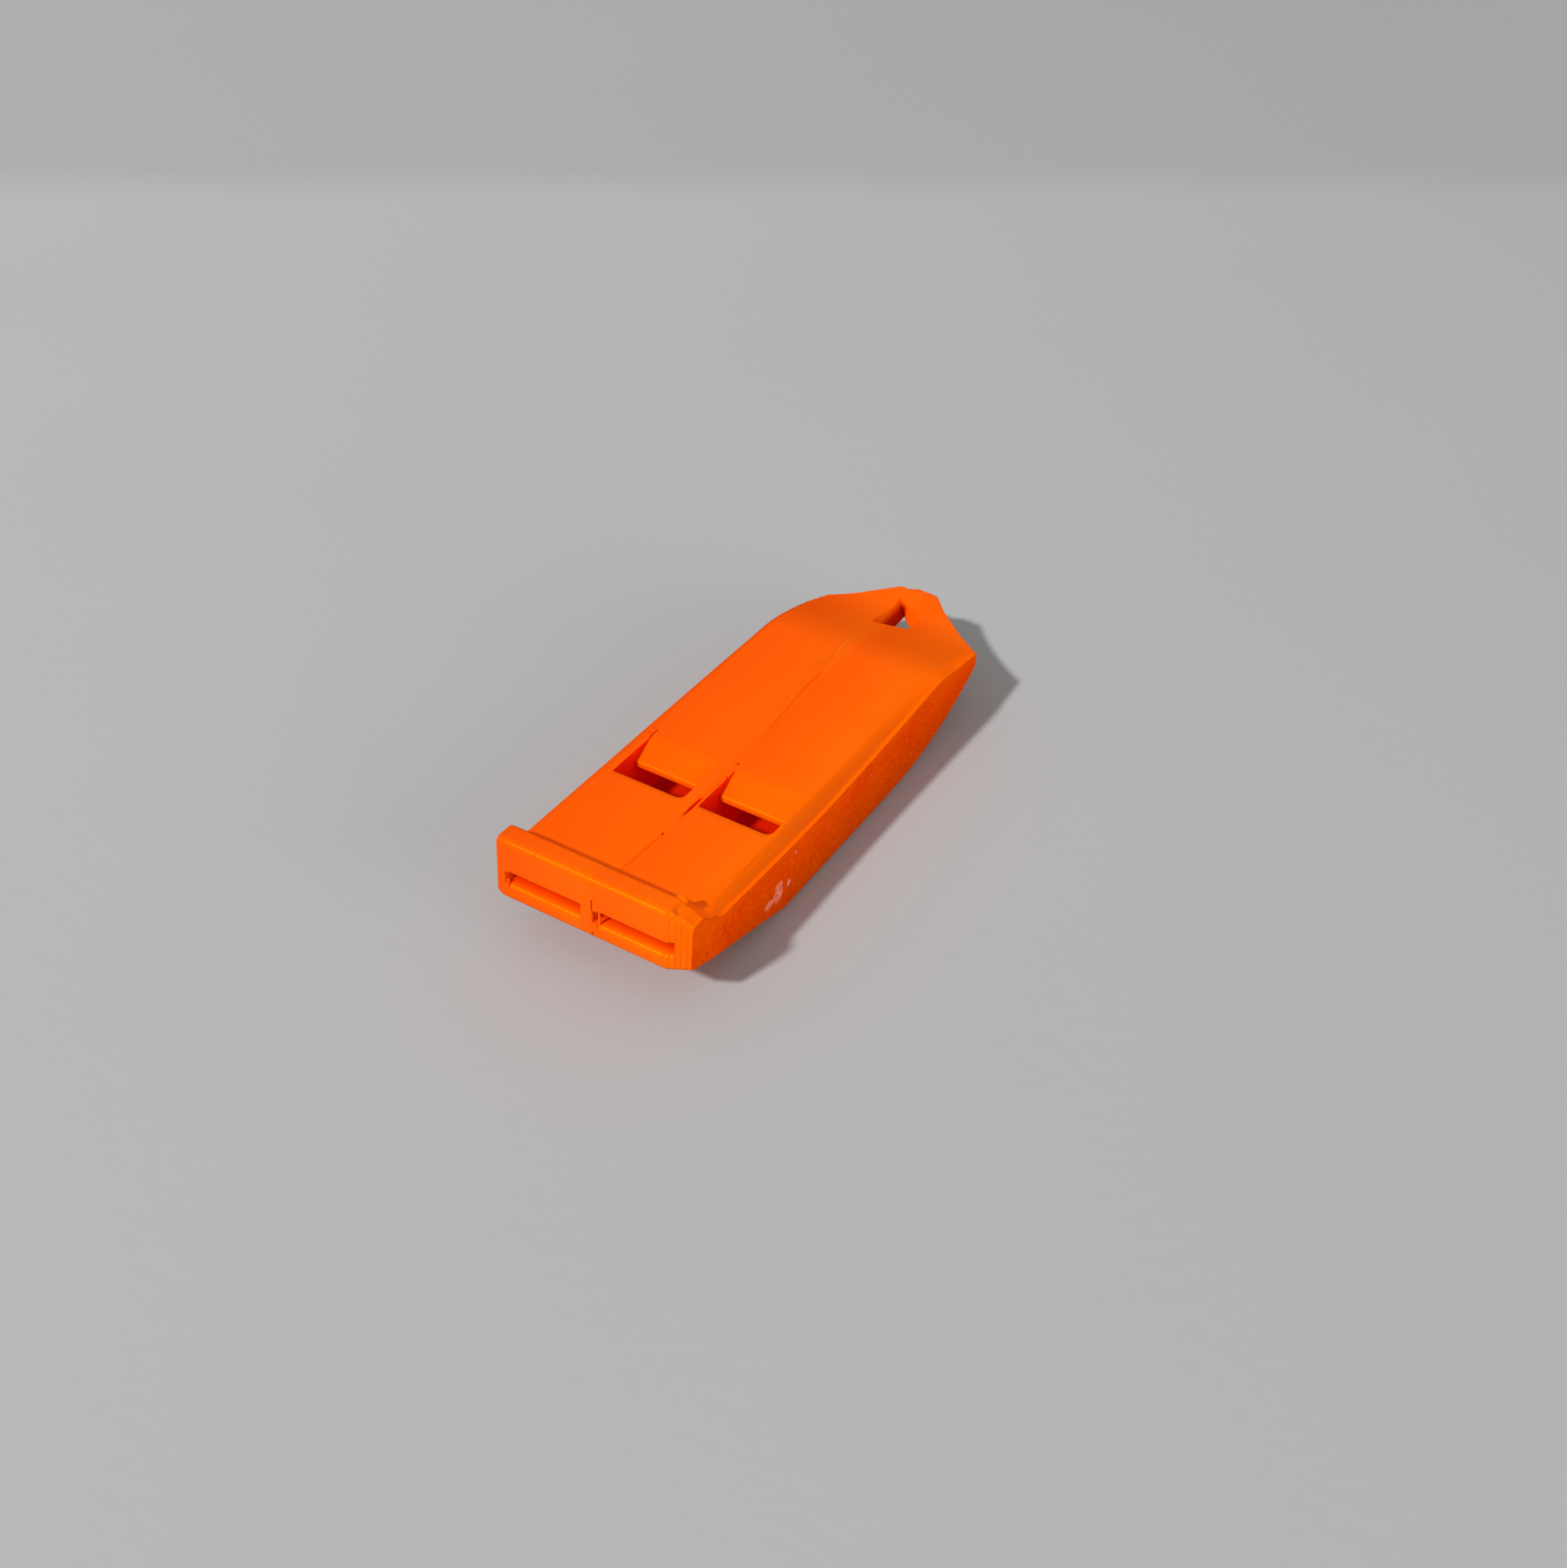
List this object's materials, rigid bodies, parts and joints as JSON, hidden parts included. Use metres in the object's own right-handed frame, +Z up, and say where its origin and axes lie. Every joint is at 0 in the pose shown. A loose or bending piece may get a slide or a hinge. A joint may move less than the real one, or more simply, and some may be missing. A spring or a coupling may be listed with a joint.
{
  "type": "whistle",
  "caption": "Flat pealess signal whistle with side-by-side chambers, a raised bite lip, a labium in each deck window and a tapered tab with a cord hole.",
  "frame": {"origin": "on the belly's plane, under the middle of the whistle's length and width", "axes": "+X to the right, +Y from the mouthpiece to the cord tab, +Z up from the belly to the deck"},
  "size_m": [0.017, 0.055, 0.01],
  "materials": {
    "printed_plastic": "printed in fine layers, satin sheen on each layer",
    "bed_side_plastic": "matte, mottled by the print bed",
    "chamber_plastic": "printed in fine layers, unsmoothed"
  },
  "bodies": {
    "root": {"left_side_wall": "printed_plastic", "right_side_wall": "bed_side_plastic", "centre_divider": "printed_plastic", "tail_tab": "printed_plastic", "left_windway_roof": "printed_plastic", "left_windway_block": "printed_plastic", "left_labium_deck": "printed_plastic", "left_chamber_floor": "chamber_plastic", "left_chamber_stop": "chamber_plastic", "right_windway_roof": "printed_plastic", "right_windway_block": "printed_plastic", "right_labium_deck": "printed_plastic", "right_chamber_floor": "chamber_plastic", "right_chamber_stop": "chamber_plastic"}
  },
  "joints": []
}
